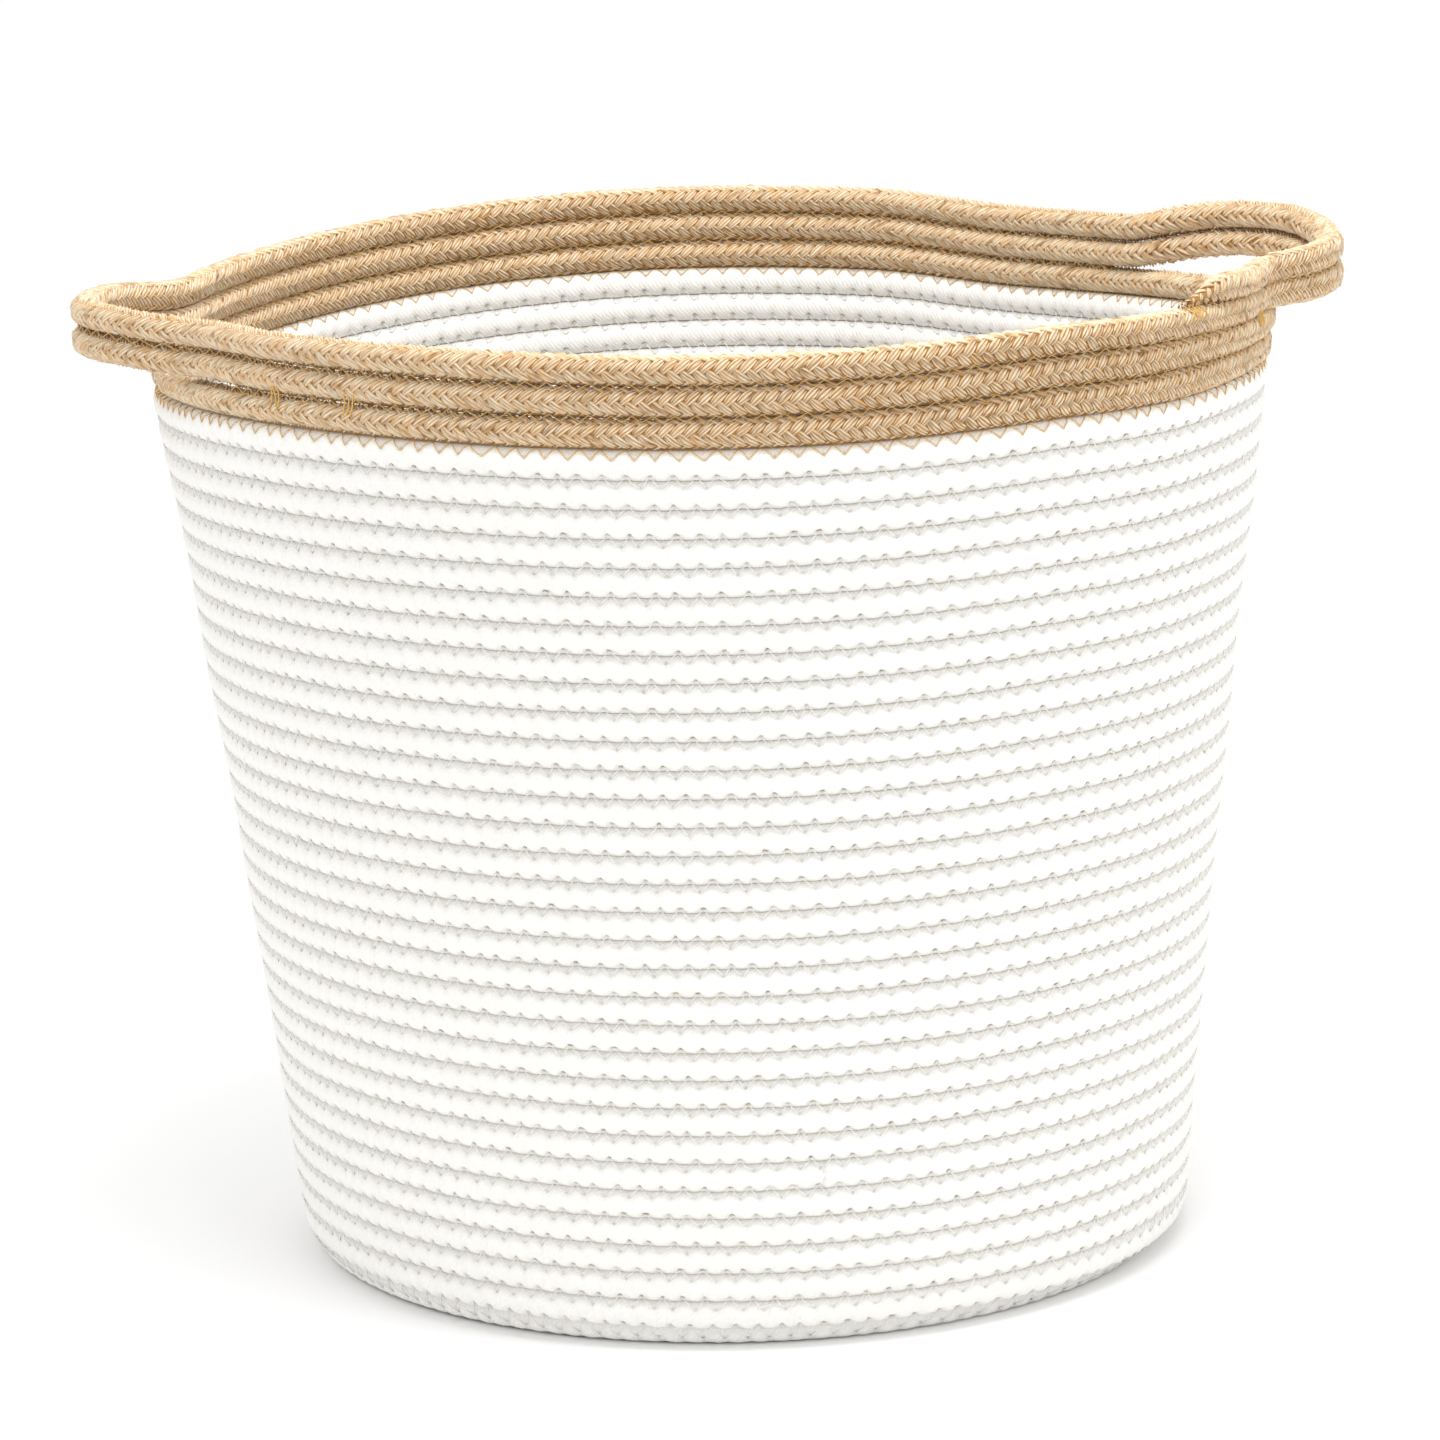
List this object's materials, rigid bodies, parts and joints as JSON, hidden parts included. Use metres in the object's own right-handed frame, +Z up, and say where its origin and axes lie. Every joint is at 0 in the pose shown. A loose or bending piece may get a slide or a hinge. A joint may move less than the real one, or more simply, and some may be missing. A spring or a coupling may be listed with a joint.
{
  "type": "coiled rope laundry basket",
  "caption": "Round tapering laundry basket coiled from white cotton rope, with a braided jute rim whose upper rows form the carrying loops.",
  "frame": {"origin": "centre of the underside, on the floor", "axes": "+Z up, +X towards the handle where the rope ends, -X towards the other handle"},
  "size_m": [0.4528, 0.3996, 0.3597],
  "materials": {
    "cotton_rope": "matte",
    "cotton_thread": "matte",
    "jute_rope": "matte",
    "tan_thread": "matte"
  },
  "bodies": {
    "basket": {"base_rope_coil": "cotton_rope", "wall_rope_coil": "cotton_rope", "base_seam_thread": "cotton_thread", "wall_seam_thread": "cotton_thread", "rim_rope_lower_run": "jute_rope", "rim_rope_back_middle_run": "jute_rope", "rim_rope_front_upper_run": "jute_rope", "rim_rope_back_upper_run": "jute_rope", "rim_rope_tail_end": "jute_rope", "edge_seam_thread": "tan_thread", "rim_seam_thread_lower": "tan_thread", "rim_seam_thread_upper": "tan_thread", "left_front_bar_tack": "tan_thread", "left_back_bar_tack": "tan_thread", "right_front_bar_tack": "tan_thread", "right_back_bar_tack": "tan_thread"},
    "left_handle": {"left_handle_lower_rope": "jute_rope", "left_handle_upper_rope": "jute_rope", "left_handle_seam_thread": "tan_thread"},
    "right_handle": {"right_handle_lower_rope": "jute_rope", "right_handle_upper_rope": "jute_rope", "right_handle_seam_thread": "tan_thread"}
  },
  "joints": [
    {"name": "left_handle_flex", "type": "hinge", "parent": "basket", "child": "left_handle", "pos_m": [-0.19168, 0, 0.341], "axis": [0, 1, 0], "range_deg": [-15, 45], "stiffness_Nm_per_rad": 0.5},
    {"name": "right_handle_flex", "type": "hinge", "parent": "basket", "child": "right_handle", "pos_m": [0.19168, 0, 0.34625], "axis": [0, -1, 0], "range_deg": [-15, 45], "stiffness_Nm_per_rad": 0.5}
  ]
}
